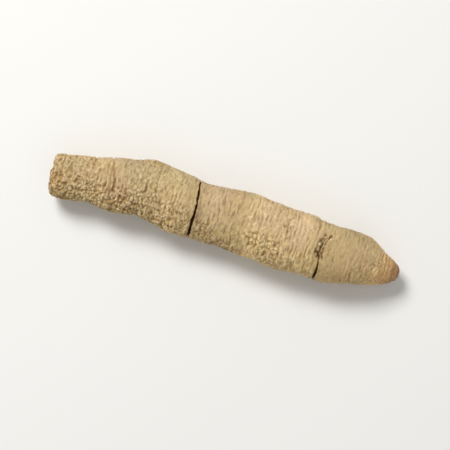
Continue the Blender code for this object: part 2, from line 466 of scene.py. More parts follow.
# %% [markdown]
# ## Cracks and grooves
#
# The root dried hard and split across in two places. One crack crosses the whole of it near
# the middle, and widens towards the near side. The other is a rough scar that turns into a
# crack, where the taper begins. There are shallow grooves and notches as well. Each is a path
# of angle, station and depth, close to its line in the solid. A float curve reads the path,
# and noise makes the edges ragged. Small dark marks and pebbly patches are spots on the upper
# side, pushed about by noise so that none of them is round.

# %% Paths of the cracks and grooves
ANGLES = (-90.0, 270.0)
# Each crack: its station on top, how it widens (from one angle to another, from one half width
# to another), and its path of angle, station and depth.
CRACKS = {
    "main crack": (
        37.5,
        (40.0, 120.0, 0.2, 0.35),
        ((-75, 37.2, 0.0), (-35, 36.5, 0.7), (0, 36.6, 0.7), (45, 37.0, 1.3), (90, 37.5, 1.5),
         (140, 37.5, 1.7), (180, 37.3, 1.0), (215, 37.6, 0.9), (250, 37.3, 0.0)),
    ),
    "scarred crack": (
        69.4,
        (95.0, 165.0, 0.18, 0.34),
        ((35, 70.8, 0.0), (58, 70.5, 0.15), (78, 69.5, 0.25), (92, 69.4, 0.35), (99, 69.6, 0.4),
         (107, 69.9, 0.35), (118, 70.0, 1.2), (155, 69.9, 1.6), (185, 69.7, 1.1), (215, 70.0, 0.8),
         (240, 70.3, 0.0)),
    ),
}
# Each groove: its half width and its path.
GROOVES = {
    "slanting groove": (
        0.3,
        ((-25, 14.2, 0.0), (0, 14.3, 0.55), (40, 15.1, 0.55), (73, 16.0, 0.6), (99, 17.1, 0.45),
         (130, 17.8, 0.0)),
    ),
    "groove at the broken end": (
        0.3, ((-30, 10.4, 0.0), (5, 10.3, 0.5), (55, 10.6, 0.35), (105, 11.0, 0.0))
    ),
    "notch in the near edge": (
        1.0, ((125, 23.8, 0.0), (165, 23.5, 0.45), (195, 23.4, 0.4), (230, 23.2, 0.0))
    ),
    "fold in the near flank": (
        0.35, ((105, 30.9, 0.0), (135, 30.5, 0.4), (165, 30.2, 0.55), (205, 30.7, 0.0))
    ),
    "step before the scar": (
        0.8, ((-25, 67.9, 0.0), (10, 68.0, 0.35), (45, 68.2, 0.2), (75, 68.4, 0.0))
    ),
    "crease on the taper": (
        0.28, ((110, 78.4, 0.0), (150, 78.6, 0.45), (180, 78.7, 0.45), (220, 78.9, 0.0))
    ),
    "first ring at the tip": (
        0.22, ((15, 85.2, 0.0), (60, 85.4, 0.22), (120, 85.7, 0.2), (190, 85.9, 0.0))
    ),
    "second ring at the tip": (
        0.22, ((5, 86.2, 0.0), (60, 86.4, 0.26), (130, 86.6, 0.18), (170, 86.8, 0.0))
    ),
    "third ring at the tip": (
        0.22, ((20, 87.1, 0.0), (70, 87.3, 0.2), (140, 87.5, 0.2), (220, 87.7, 0.0))
    ),
}
DEEPEST = 2.5
WIDEST_SWING = 3.5
# Ragged edges: the scale of a noise, and how far it pushes the edge.
COARSE_RAGS = (0.4, 0.34)
FINE_RAGS = (1.4, 0.26)
# How the width of a cut changes along it: its usual share, the change by noise, and the least.
WIDTHS = (0.95, 0.8, 0.4)
# The rough scar: how far from the crack it fades, and the angles where it begins and ends.
SCAR_RAGS = 0.5
SCAR_EDGE = (0.7, 1.4)
SCAR_BEGINS = (46.0, 58.0)
SCAR_ENDS = (98.0, 112.0)


def path_station(angle, path):
    """The station of a path at each angle, as nodes."""
    points = [(ANGLES[0], path[0][1])] + [(a, s) for a, s, _ in path] + [(ANGLES[1], path[-1][1])]
    base = min(s for _, s in points) - 0.1
    return curve_of(angle, [(a, s - base) for a, s in points], *ANGLES, top=WIDEST_SWING) + base


def path_depth(angle, path):
    """The depth of a path at each angle, as nodes. It is zero past the path's ends."""
    points = [(ANGLES[0], 0.0)] + [(a, d) for a, _, d in path] + [(ANGLES[1], 0.0)]
    return curve_of(angle, points, *ANGLES, top=DEEPEST).most(0.0)


def cut_share(place, angle, half_width, path, edge):
    """1 inside a cut and 0 outside. It fades across the edge, which is given in half widths."""
    (coarse, coarse_push), (fine, fine_push) = COARSE_RAGS, FINE_RAGS
    ragged = noise(place, coarse) * coarse_push + noise(place, fine) * fine_push
    usual, change, least = WIDTHS
    wide = (noise(moved(place, 0.0, 0.0, 51.0), 0.6, 2.0) * change + usual).most(least) * half_width
    across = (place.axis(0) - path_station(angle, path) + ragged).size() / wide
    return across.step(*edge, 1.0, 0.0)


def scar_share(place, angle):
    """1 on the rough scar at the far end of the second crack."""
    _, _, path = CRACKS["scarred crack"]
    ragged = noise(place, 0.7, 2.0) * SCAR_RAGS
    across = (place.axis(0) - path_station(angle, path) + ragged).size()
    along = angle.step(*SCAR_BEGINS) * angle.step(*SCAR_ENDS, 1.0, 0.0)
    return across.step(*SCAR_EDGE, 1.0, 0.0) * along


# Small dark marks on the upper side: station, distance from the middle line towards the far
# edge, half their length along the root and across it, and depth.
MARKS = (
    (2.1, 2.2, 0.35, 0.5, 0.3),
    (4.1, 1.9, 0.3, 0.4, 0.25),
    (6.9, 2.4, 0.3, 0.5, 0.25),
    (8.4, -2.5, 0.3, 0.6, 0.3),
    (22.4, -2.6, 0.35, 0.5, 0.3),
    (24.5, 3.1, 0.35, 0.7, 0.3),
    (27.2, 1.1, 0.4, 0.5, 0.35),
    (26.8, -4.8, 0.35, 0.5, 0.3),
    (55.8, 2.2, 0.35, 0.6, 0.25),
    (64.4, -3.4, 0.3, 0.9, 0.25),
    (73.3, -2.2, 0.2, 1.2, 0.22),
    (74.1, -2.5, 0.18, 0.8, 0.18),
    (76.4, 0.9, 0.2, 0.7, 0.18),
    (77.3, 1.3, 0.18, 0.6, 0.14),
    (78.2, -4.6, 0.35, 0.8, 0.3),
    (76.5, -6.6, 0.3, 0.7, 0.3),
    (81.0, -4.6, 0.25, 0.7, 0.25),
    (82.0, -2.2, 0.2, 0.9, 0.16),
)
# Patches where the skin is pebbly: station, distance towards the far edge, reach along and
# across, and strength.
PEBBLY_PATCHES = (
    (40.8, -4.6, 3.2, 3.0, 0.7),
    (51.3, 1.2, 2.8, 1.6, 0.6),
    (52.8, -3.0, 3.2, 2.4, 0.75),
    (57.5, -4.6, 4.0, 4.0, 0.85),
    (60.6, 2.7, 2.3, 2.4, 0.7),
    (61.3, -0.8, 1.8, 1.6, 0.6),
    (47.0, -7.0, 5.0, 1.8, 0.8),
    (83.6, -1.0, 1.2, 1.2, 0.5),
)
# Spots of each kind: where they fade, as shares of their reach, how high on the root they
# begin, and the scale, detail and reach of the noise that makes their outline uneven.
MARK_EDGE = (0.2, 1.3)
MARKS_ABOVE = (5.0, 7.0)
MARK_SHAKE = (1.6, 1.0, 0.3)
PATCH_EDGE = (0.5, 1.2)
PATCHES_ABOVE = (3.0, 5.0)
PATCH_SHAKE = (0.5, 2.0, 1.2)


def near_spot(place, station, towards_far, along, across):
    """How far a place is from a spot, as a share of the spot's reach."""
    from_spot = moved(place, -station, -towards_far, 0.0)
    return length(stretched(from_spot, 1.0 / along, 1.0 / across, 0.0))


def patchy(place):
    """How pebbly the patches make a place, 0 to 1."""
    here = shaken(place, *PATCH_SHAKE)
    total = place.axis(0) * 0.0
    for *spot, strength in PEBBLY_PATCHES:
        total = total.most(near_spot(here, *spot).step(*PATCH_EDGE, strength, 0.0))
    return total * place.axis(2).step(*PATCHES_ABOVE)


def mark_depth(place):
    """How deep the small marks reach, in millimetres."""
    here = shaken(place, *MARK_SHAKE)
    total = place.axis(0) * 0.0
    for *spot, depth in MARKS:
        total = total + near_spot(here, *spot).step(*MARK_EDGE, depth, 0.0)
    return total * place.axis(2).step(*MARKS_ABOVE)


print(len(CRACKS), "cracks,", len(GROOVES), "grooves and", len(MARKS), "marks")

# %% [markdown]
# ## Growing the skin
#
# The tree takes the chain of rings. Curve to Mesh sweeps a circle along it, which gives the
# rows of faces. Then Set Position puts every point where the formula says: the section of its
# ring, turned by its angle. The rings bend along the root near a crack, so that their lines
# follow it. The broken end slants a little. Where the root rests, the smooth body dips below
# the ground, and is pressed flat in the end.
#
# That smooth body is stored as a place of its own, because all the patterns read it, and a
# second Set Position pushes the skin in by the relief. Four masks are stored too, for the
# material: how pebbly, wrinkled, broken and cracked each point is. Nothing may stand out of
# the solid's box, so the last step holds every point inside it.

# %% The tree that grows the root
SIDES = 188
RADIANS = math.pi / 180.0
MERGE_DISTANCE = 1e-6
SQUARENESS = 0.93
BROKEN_SLANT = 0.9
SLANT_REACH = 6.0
PRESSED = 0.3
PRESSED_BELOW = 0.5
# Rings this near to a crack bend with it, but only those of the side, where the part is 1.
CRACK_HOLD = 8.0
SIDE_PART = (0.995, 1.0)
# Broad lumps and smaller bumps, and the whole skin a little out to make up for the relief.
LUMP_SCALE = 0.16
LUMP_HEIGHT = 0.3
BUMP_SCALE = 0.45
BUMP_HEIGHT = 0.16
SWELL = 0.06
# The broken face and the nose at the tip: where they lie, and the scale and height of the
# noise that makes them rough.
BROKEN_PART = (0.78, 0.97)
BROKEN_STATIONS = (5.0, 6.0)
FACE_SCALE = 0.8
FACE_ROUGHNESS = 0.5
NOSE_PART = (0.3, 1.0)
NOSE_STATIONS = (86.5, 87.5)
NOSE_SCALE = 0.6
NOSE_ROUGHNESS = 0.4
FINE_NOSE_SCALE = 1.7
FINE_NOSE_ROUGHNESS = 0.2
RAGGED = 0.6
# Where the cut of a crack, the darker rim beside it and the cut of a groove fade, in half widths.
CRACK_EDGE = (0.4, 1.15)
RIM_DARK_EDGE = (0.7, 2.1)
GROOVE_EDGE = (0.0, 1.5)
# How dark the bark gets for each millimetre of depth. In the cracks and grooves this is painted
# shade that deepens with the cut, and in the cracks partly the bark's own dark brown too.
CRACK_RIM_DARK = 0.25
GROOVE_SHADE = 0.9
MARK_STAIN = 1.6
# The scar: its depth, how pebbly it is, how dark its hollows are, with dust and painted shade, and
# how much less the tops of its pebbles are, and its dark heart, by angle.
SCAR_DEPTH = 0.2
SCAR_PEBBLES = 1.15
SCAR_HOLLOW_DARK = (0.25, 0.6)
SCAR_HEART = (74.0, 88.0)
SCAR_STAIN = 0.42
# The near side is told by the cosine of the angle, which is 1 at the far edge and -1 at the
# near one. Between these two the far side's values pass into the near side's.
NEAR_SIDE = (-0.5, 0.45)
# How pebbly the far and near sides are, and how wrinkled the root is: station and share.
PEBBLY_FAR = (
    (0, 0.9), (4, 0.7), (10, 0.55), (13, 0.35), (18, 0.3), (26, 0.5), (31, 0.25), (45, 0.12),
    (54, 0.2), (66, 0.12), (73, 0.08), (90.5, 0.05),
)
PEBBLY_NEAR = (
    (0, 1.0), (20, 1.0), (33, 0.85), (40, 0.35), (48, 0.3), (56, 0.3), (61, 0.3), (66, 0.2),
    (74, 0.15), (90.5, 0.15),
)
PEBBLY_CHANGE = 0.35
LEAST_PEBBLY = 0.05
WRINKLED_ALONG = (
    (0, 0.5), (5, 0.75), (12, 0.75), (22, 0.75), (29, 0.5), (36, 0.6), (44, 0.95), (54, 0.8),
    (66, 0.9), (73, 0.55), (82, 0.5), (87, 0.9), (90.5, 0.7),
)
WRINKLED_CHANGE = 0.6
LEAST_WRINKLED = 0.15


def named(tree, name, kind="FLOAT"):
    """Reads a named attribute."""
    return add_node(tree, "GeometryNodeInputNamedAttribute", {"Name": name}, data_type=kind)


def stored(geometry, name, value, kind="FLOAT"):
    """Stores a field on the points under a name."""
    inputs = {"Geometry": geometry, "Name": name, "Value": value}
    settings = {"data_type": kind, "domain": "POINT"}
    return add_node(geometry.tree, "GeometryNodeStoreNamedAttribute", inputs, **settings)


def put(geometry, socket, value):
    """Moves every point of a geometry, to a Position or by an Offset."""
    inputs = {"Geometry": geometry, socket: value}
    return add_node(geometry.tree, "GeometryNodeSetPosition", inputs)


def signed_power(value, power):
    """A power that keeps the sign."""
    return value.size() ** power * value.maths("SIGN")


def new_tree(name, kind, inputs, outputs):
    """An empty node tree with named sockets, its inputs as fields, and its end node."""
    tree = bpy.data.node_groups.new(name, kind)
    for way, sockets in (("INPUT", inputs), ("OUTPUT", outputs)):
        for label, value in sockets.items():
            tree.interface.new_socket(name=label, in_out=way, socket_type="NodeSocket" + value)
    start, end = tree.nodes.new("NodeGroupInput"), tree.nodes.new("NodeGroupOutput")
    return tree, {socket.name: Field(tree, socket) for socket in start.outputs}, end


def swept_tube(ring_chain, sides):
    """A tube of rings along the chain, whose points know their angle."""
    tree = ring_chain.tree
    line = add_node(tree, "GeometryNodeMeshToCurve", {"Mesh": ring_chain})
    circle = add_node(tree, "GeometryNodeCurvePrimitiveCircle", {"Resolution": sides})
    number = add_node(tree, "GeometryNodeInputIndex")
    circle = stored(circle, "angle", number / sides * 360.0 + ANGLES[0])
    return add_node(tree, "GeometryNodeCurveToMesh", {"Curve": line, "Profile Curve": circle})


def crack_bend(station, angle):
    """How far a ring moves along the root at each angle, to follow a crack near by."""
    bend = station * 0.0
    for middle, _, path in CRACKS.values():
        hold = (station - middle).size().step(0.0, CRACK_HOLD, 1.0, 0.0)
        bend = bend + hold * (path_station(angle, path) - middle)
    return bend


def smooth_body(tree):
    """The place of every point on the smooth root, in millimetres."""
    station, part, angle = named(tree, "station"), named(tree, "part"), named(tree, "angle")
    turn = angle * RADIANS
    across, up = turn.maths("COSINE"), turn.maths("SINE")
    towards_near = across * part * -0.5 + 0.5
    slant = station.step(0.0, SLANT_REACH, BROKEN_SLANT, 0.0) * towards_near
    along = station + crack_bend(station, angle) * part.step(*SIDE_PART) + slant
    edge_far, edge_near = named(tree, "far"), named(tree, "near")
    edge_top, edge_bottom = named(tree, "top"), named(tree, "bottom")
    low = edge_bottom - edge_bottom.step(0.0, PRESSED_BELOW, PRESSED, 0.0)
    half_width = (edge_far - edge_near) * 0.5
    half_height = (edge_top - low) * 0.5
    y = (edge_far + edge_near) * 0.5 + half_width * part * signed_power(across, SQUARENESS)
    z = (edge_top + low) * 0.5 + half_height * part * signed_power(up, SQUARENESS)
    return vector(along, y, z)


def pebbly_share(place, angle, scar):
    """How pebbly a place is, by its station and side, in the patches and on the scar."""
    station = place.axis(0)
    near_side = (angle * RADIANS).maths("COSINE").step(*NEAR_SIDE, 1.0, 0.0)
    far_pebbles, near_pebbles = along_root(station, PEBBLY_FAR), along_root(station, PEBBLY_NEAR)
    change = noise(moved(place, 12.0, 0.0, 0.0), 0.2) * PEBBLY_CHANGE
    pebbly = far_pebbles + (near_pebbles - far_pebbles) * near_side + change
    return pebbly.most(patchy(place)).most(LEAST_PEBBLY).least(1.0).most(scar * SCAR_PEBBLES)


def wrinkled_share(place):
    """How wrinkled a place is, by its station."""
    change = noise(moved(place, 0.0, 20.0, 0.0), 0.13) * WRINKLED_CHANGE
    wrinkled = along_root(place.axis(0), WRINKLED_ALONG) + change
    return wrinkled.most(LEAST_WRINKLED).least(1.0)


def broken_share(place, part):
    """1 on the rough face of the broken end."""
    return part.step(*BROKEN_PART, 1.0, 0.0) * place.axis(0).step(*BROKEN_STATIONS, 1.0, 0.0)


def broad_relief(place, part, broken):
    """Lumps and bumps all over, and the roughness of the two ends, in millimetres."""
    lumps = noise(moved(place, 0.0, 0.0, 40.0), LUMP_SCALE, 2.0) * LUMP_HEIGHT
    bumps = noise(moved(place, 0.0, 0.0, 80.0), BUMP_SCALE) * BUMP_HEIGHT
    face = noise(place, FACE_SCALE, 3.0, RAGGED) * FACE_ROUGHNESS * broken
    nose = part.step(*NOSE_PART, 1.0, 0.0) * place.axis(0).step(*NOSE_STATIONS)
    rough = noise(place, NOSE_SCALE, 3.0, RAGGED) * NOSE_ROUGHNESS
    fine = (noise(place, FINE_NOSE_SCALE, 2.0, RAGGED) - 0.2) * FINE_NOSE_ROUGHNESS
    return lumps + bumps + SWELL + face + (rough + fine) * nose


def cuts(place, angle):
    """The depth of the cracks and grooves, in millimetres, and how dark they are, partly painted shade."""
    total, dark = place.axis(0) * 0.0, place.axis(0) * 0.0
    for _, widening, path in CRACKS.values():
        half_width, deepest = angle.step(*widening), path_depth(angle, path)
        depth = cut_share(place, angle, half_width, path, CRACK_EDGE) * deepest
        rim_dark = cut_share(place, angle, half_width, path, RIM_DARK_EDGE) * deepest
        total = total + depth
        # A crack is darker the deeper it is, partly painted shade, with a darker rim beside it.
        dark = dark + depth + rim_dark * CRACK_RIM_DARK
    for half_width, path in GROOVES.values():
        depth = cut_share(place, angle, half_width, path, GROOVE_EDGE) * path_depth(angle, path)
        total = total + depth
        # A groove is darker the deeper it is: painted shade.
        dark = dark + depth * GROOVE_SHADE
    return total, dark


def skin_shape(place, part, angle):
    """How far each point moves outwards, and the masks that the material reads."""
    scar = scar_share(place, angle)
    pebbly, wrinkled = pebbly_share(place, angle, scar), wrinkled_share(place)
    broken = broken_share(place, part)
    cut, dark = cuts(place, angle)
    marked = mark_depth(place)
    relief = skin_relief(place, pebbly, wrinkled) + broad_relief(place, part, broken)
    relief = relief - cut - marked - scar * SCAR_DEPTH
    # The scar is darker in the hollows between its pebbles, with dust and painted shade.
    dust, top_fall = SCAR_HOLLOW_DARK
    scar_dark = (pebbles(place) * -top_fall + dust).most(0.0) + angle.step(*SCAR_HEART) * SCAR_STAIN
    cracked = dark + marked * MARK_STAIN + scar * scar_dark
    return relief, {"pebbly": pebbly, "wrinkled": wrinkled, "broken": broken, "cracked": cracked}


def grow_root():
    """Builds the Geometry Nodes tree of the root."""
    tree, given, end = new_tree(
        "grow a root",
        "GeometryNodeTree",
        {
            "Geometry": "Geometry",
            "Sides": "Int",
            "Lowest corner": "Vector",
            "Highest corner": "Vector",
            "Bark": "Material",
        },
        {"Geometry": "Geometry"},
    )
    place = smooth_body(tree)
    start_of_root = stretched(given["Lowest corner"], 1.0, 0.0, 0.0)
    body = stored(swept_tube(given["Geometry"], given["Sides"]), "skin_place", place, "FLOAT_VECTOR")
    body = put(body, "Position", vector_maths("ADD", scaled(place, MM), start_of_root))
    inputs = {"Geometry": body, "Distance": MERGE_DISTANCE}
    body = add_node(tree, "GeometryNodeMergeByDistance", inputs)

    place = named(tree, "skin_place", "FLOAT_VECTOR")
    relief, masks = skin_shape(place, named(tree, "part"), named(tree, "angle"))
    for name, value in masks.items():
        body = stored(body, name, value)
    skin = put(body, "Offset", scaled(add_node(tree, "GeometryNodeInputNormal"), relief * MM))
    here = add_node(tree, "GeometryNodeInputPosition")
    held = vector_maths("MAXIMUM", here, given["Lowest corner"])
    held = vector_maths("MINIMUM", held, given["Highest corner"])
    skin = put(skin, "Position", held)
    skin = add_node(tree, "GeometryNodeSetShadeSmooth", {"Geometry": skin})
    skin = add_node(tree, "GeometryNodeRealizeInstances", {"Geometry": skin})
    inputs = {"Geometry": skin, "Material": given["Bark"]}
    join(tree, add_node(tree, "GeometryNodeSetMaterial", inputs), end.inputs["Geometry"])
    return tree


root_tree = grow_root()
print(len(root_tree.nodes), "nodes grow the root")

# %% [markdown]
# ## The bark's colour
#
# The skin is a dull, dusty tan. It is paler on the crests of folds and pebbles, where it was
# rubbed and where a highlight is painted, and darker in creases and pits, where dust collects and
# shade is painted. The pale pebbles stand out most on the near flank, partly as painted highlight,
# and that flank is yellower with painted bounce light, while the far flank is darkened as painted
# shade. Broad patches lean to olive or to pink, and bands round the root are a little lighter or
# darker than others, partly as painted light. A strip of painted shade lies beside the main crack,
# and the tip is orange and then reddish brown. The bark inside a crack is dark brown, partly its
# own colour and partly painted shade, and the broken end is a dull purple brown with some yellow.
#
# The colour is built in layers, each mixed over the one before by a mask: first the broad
# tints, then the folds and pebbles, then the tone, and last the ends and the cracks. One node
# group gives back the colour, the roughness and a fine height, and the material's own
# Principled BSDF and Bump turn these into a surface.

# %% Colours


def linear(red, green, blue):
    """A colour as seen on screen, 0 to 255, as the linear values that Blender mixes."""
    parts = [value / 255.0 for value in (red, green, blue)]
    return tuple(v / 12.92 if v <= 0.04045 else ((v + 0.055) / 1.055) ** 2.4 for v in parts) + (1.0,)


TAN = linear(194, 164, 116)
PALE = linear(228, 203, 156)
OLIVE = linear(186, 160, 102)
PINKISH = linear(202, 160, 118)
# Painted warm bounce light, for the near flank.
BOUNCE_YELLOW = linear(193, 160, 95)
PINK_GREY = linear(206, 172, 146)
GREEN_GREY = linear(180, 166, 120)
# Painted shade, for a strip beside the main crack.
LIP_SHADE_BROWN = linear(142, 112, 82)
DULL_OLIVE = linear(156, 134, 90)
ORANGE = linear(200, 146, 84)
RED_BROWN = linear(146, 102, 72)
# Pebble tops, partly painted highlight.
NODULE = linear(240, 218, 174)
# Creases and hollows: dust and painted shade.
CREASE_BROWN = linear(118, 84, 42)
PIT_BROWN = linear(78, 54, 34)
CRACK_BROWN = linear(98, 62, 28)
BROKEN_PURPLE = linear(112, 86, 76)
CORE_YELLOW = linear(168, 134, 86)
# How strongly each layer of colour covers the one below it.
OLIVE_SHARE = 0.6
PINKISH_SHARE = 0.5
LIP_SHADE_SHARE = 0.7
BOUNCE_YELLOW_SHARE = 0.45
PALE_SPOTS_SHARE = 0.25
PALE_CREST_SHARE = 0.3
NODULE_SHARE = 1.1
MOST_NODULE = 0.85
VALLEY_SHARE = 0.38
PIT_SHARE = 0.6
TIP_ORANGE_SHARE = 0.4
TIP_BROWN_SHARE = 0.75
FACE_SHARE = 0.8
# The lightness of the bands along the root, and how strong its flecks are: station and factor.
# The bands are partly painted light: they lift the taper, which gets less of the key lamp. The
# flecks lighten and darken the colour, partly as painted highlight and shade.
TONE_ALONG = (
    (0, 0.84), (9, 0.85), (14, 0.86), (20, 0.81), (24, 0.86), (28, 0.9), (32, 0.98), (35.5, 0.87),
    (42, 0.82), (48, 0.84), (53, 1.07), (60, 0.92), (65, 1.02), (71, 0.86), (75, 0.9), (80, 0.86),
    (86, 1.14), (90.5, 0.96),
)
TONE_TOP = 1.2
FLECKS_ALONG = (
    (0, 0.6), (10, 0.7), (14, 0.9), (36, 0.9), (40, 1.0), (62, 1.0), (68, 0.8), (72, 0.55), (78, 0.75),
    (84, 1.0), (90.5, 1.0),
)
FLECK_TONE = 0.5
GRAIN_TONE = 0.16
# The flanks, by distance across and height, and how much darker the far one is made, as painted
# shade. On the near flank the pale pebble tops and the flecks are made stronger, partly as painted
# highlight.
FAR_FLANK = (3.5, 8.0)
FAR_PAINTED_SHADE = 0.87
NEAR_FLANK = (1.0, -7.0)
NEAR_HEIGHTS = (2.0, 9.0)
NEAR_HIGHLIGHTS = 0.9
# How strong the dark of the hollows is, which is dust and painted shade: from one station to
# another, from one share to another.
HOLLOW_SHARE = (7.0, 14.0, 0.5, 0.65)
# Where crests and hollows begin and end, by the relief in millimetres, the valleys by their
# fold, and the dark of a crack by its depth.
CREST = (-0.2, -0.02)
HOLLOW = (-0.14, -0.44)
VALLEY = (0.5, 0.05)
CRACK_DARK = (0.12, 0.9)
GRAIN_SCALE = 3.4
DUST_SCALE = 8.0
# Where the tip turns orange and then brown, and how far noise moves these borders.
TIP_ORANGE = (82.0, 88.0)
TIP_BROWN = (84.5, 90.5)
TIP_SHAKE = 2.2
# The strip of painted shade beside the main crack: station, distance towards the far edge, reach
# along and across. Below these heights it counts as three times as far away, so it fades out there.
CRACK_LIP_SHADE = (38.8, -2.4, 1.4, 3.8)
STRIP_SHAKE = 0.3
STRIP_HEIGHTS = (5.0, 3.0)
STRIP_BELOW = 3.0
STRIP_EDGE = (0.4, 1.3)
TINT_EDGE = (0.3, 1.3)
TINT_SHAKE = (0.3, 2.0, 2.5)
ROUGHNESS = 0.88
ROUGHNESS_CHANGE = 0.05
DUSTY_SHINE = 0.25
# What each pattern adds to the fine height, which the Bump reads in millimetres.
RELIEF_HEIGHT = 0.7
GRAIN_HEIGHT = 0.06
FLECK_HEIGHT = 0.1
DUST_HEIGHT = 0.03
# The Mix node has a factor, A, B and result for each kind of value. These are the numbers of
# the ones for colours.
MIX_INPUTS = (0, 6, 7)
MIX_OUTPUT = 2
# Soft patches of another tint: station, distance towards the far edge, reach along and across,
# colour and strength.
TINTS = (
    (2.0, -3.5, 2.5, 2.5, ORANGE, 0.5),
    (1.5, 4.5, 1.5, 1.5, PINK_GREY, 0.5),
    (6.0, 2.5, 3.0, 2.5, GREEN_GREY, 0.4),
    (15.0, 7.5, 8.0, 2.5, PINK_GREY, 0.45),
    (18.5, -2.5, 4.0, 3.0, PINKISH, 0.5),
    (21.5, 4.5, 5.0, 3.5, GREEN_GREY, 0.5),
    (32.0, 6.0, 5.0, 4.0, GREEN_GREY, 0.4),
    (41.5, 4.5, 4.0, 5.0, PINK_GREY, 0.35),
    (50.5, 8.0, 3.5, 3.0, GREEN_GREY, 0.35),
    # The olive patch on the near flank is partly painted warm bounce light.
    (48.0, -4.0, 8.0, 3.0, OLIVE, 0.6),
    (55.5, 3.5, 5.0, 5.0, PINK_GREY, 0.3),
    (63.5, 3.0, 3.5, 7.0, PINK_GREY, 0.35),
    (73.0, 6.5, 6.0, 3.0, GREEN_GREY, 0.35),
    (76.0, -4.5, 5.0, 3.0, PINKISH, 0.3),
    (77.5, 4.8, 4.5, 2.8, DULL_OLIVE, 0.6),
    (84.0, -3.0, 4.0, 2.0, ORANGE, 0.3),
)


def mixed(share, first, second):
    """Blends two colours by a share, as nodes."""
    node = share.tree.nodes.new("ShaderNodeMix")
    node.data_type = "RGBA"
    for number, value in zip(MIX_INPUTS, (share, first, second)):
        join(share.tree, value, node.inputs[number])
    return Field(share.tree, node.outputs[MIX_OUTPUT])


def broad_colour(place, grain, near_side):
    """The tints that show from a step away, with painted shade beside the main crack and painted
    bounce light on the near flank.
    """
    patches = noise(moved(place, 5.0, 0.0, 0.0), 0.11, 2.0)
    colour = mixed(patches.step(0.0, 0.5) * OLIVE_SHARE, TAN, OLIVE)
    colour = mixed(patches.step(-0.1, -0.5) * PINKISH_SHARE, colour, PINKISH)
    here = shaken(place, *TINT_SHAKE)
    for *spot, tint, strength in TINTS:
        colour = mixed(near_spot(here, *spot).step(*TINT_EDGE, strength, 0.0), colour, tint)
    spots = noise(moved(place, 0.0, 7.0, 0.0), 0.5, 2.0)
    # A strip of painted shade beside the main crack.
    underneath = place.axis(2).step(*STRIP_HEIGHTS, 1.0, STRIP_BELOW)
    lip_shade = near_spot(moved(place, spots * STRIP_SHAKE, 0.0, 0.0), *CRACK_LIP_SHADE) * underneath
    colour = mixed(lip_shade.step(*STRIP_EDGE, LIP_SHADE_SHARE, 0.0), colour, LIP_SHADE_BROWN)
    # Painted warm bounce light: the near flank is made yellower.
    colour = mixed(near_side * BOUNCE_YELLOW_SHARE, colour, BOUNCE_YELLOW)
    return mixed((spots + grain * 0.5).step(0.1, 0.9) * PALE_SPOTS_SHARE, colour, PALE)


def folded_colour(colour, place, relief, contrast, given):
    """The colour with pale crests and pebbles, dark hollows and pits, partly painted light and shade."""
    own_tone = cells(pebble_place(place), "Color").axis(0)
    crest = relief.step(*CREST)
    # Pale crests: partly rubbed skin, partly painted highlight.
    colour = mixed(crest * given["Wrinkled"] * PALE_CREST_SHARE, colour, PALE)
    nodule = (own_tone * contrast * NODULE_SHARE).least(MOST_NODULE)
    colour = mixed(crest * given["Pebbly"] * nodule, colour, NODULE)
    # Valleys and hollows are darker with dust and painted shade.
    valley = wrinkle_folds(place).step(*VALLEY) * given["Wrinkled"] * VALLEY_SHARE
    hollow = relief.step(*HOLLOW) * place.axis(0).step(*HOLLOW_SHARE)
    colour = mixed(hollow.most(valley), colour, CREASE_BROWN)
    return mixed(pits(place) * PIT_SHARE, colour, PIT_BROWN)


def end_colours(colour, place, grain, fleck, given):
    """The colour with the tip, the broken face and the cracks painted over it."""
    tip = place.axis(0) + noise(place, 0.45, 2.0) * TIP_SHAKE
    colour = mixed(tip.step(*TIP_ORANGE) * TIP_ORANGE_SHARE, colour, ORANGE)
    brown = tip.step(*TIP_BROWN) * (grain * 0.3 + fleck * 0.6 + TIP_BROWN_SHARE)
    colour = mixed(brown, colour, RED_BROWN)
    face = mixed(grain.step(-0.5, 0.6), BROKEN_PURPLE, CORE_YELLOW)
    colour = mixed(given["Broken"] * FACE_SHARE, colour, face)
    return mixed(given["Cracked"].step(*CRACK_DARK), colour, CRACK_BROWN)


def bark_group():
    """A shader node group that works out the bark's colour, roughness and fine height."""
    tree, given, end = new_tree(
        "bark",
        "ShaderNodeTree",
        {"Place": "Vector", "Pebbly": "Float", "Wrinkled": "Float", "Broken": "Float", "Cracked": "Float"},
        {"Colour": "Color", "Roughness": "Float", "Height": "Float"},
    )
    place = given["Place"]
    station, sideways, height = place.axis(0), place.axis(1), place.axis(2)
    relief = skin_relief(place, given["Pebbly"], given["Wrinkled"])
    grain = noise(place, GRAIN_SCALE, 3.0, 0.6)
    # The near flank: its yellow is painted bounce light, and its pale pebble tops and flecks are made
    # stronger, partly as painted highlight.
    near_side = sideways.step(*NEAR_FLANK) * height.step(*NEAR_HEIGHTS)
    contrast = near_side * NEAR_HIGHLIGHTS + 1.0
    # Flecks lighten and darken the colour, partly as painted highlight and shade.
    fleck = flecks(place) * along_root(station, FLECKS_ALONG) * contrast

    colour = broad_colour(place, grain, near_side)
    colour = folded_colour(colour, place, relief, contrast, given)
    # Bands of tone along the root, partly painted light, and the far flank darkened as painted shade.
    tone = along_root(station, TONE_ALONG, TONE_TOP) * sideways.step(*FAR_FLANK, 1.0, FAR_PAINTED_SHADE)
    colour = scaled(colour, tone * (grain * GRAIN_TONE + fleck * FLECK_TONE + 1.0))
    colour = end_colours(colour, place, grain, fleck, given)
    dust = noise(place, DUST_SCALE, 2.0) * DUST_HEIGHT
    fine_height = relief * RELIEF_HEIGHT + grain * GRAIN_HEIGHT + fleck * FLECK_HEIGHT + dust
    join(tree, colour, end.inputs["Colour"])
    join(tree, grain * ROUGHNESS_CHANGE + ROUGHNESS, end.inputs["Roughness"])
    join(tree, fine_height, end.inputs["Height"])
    return tree


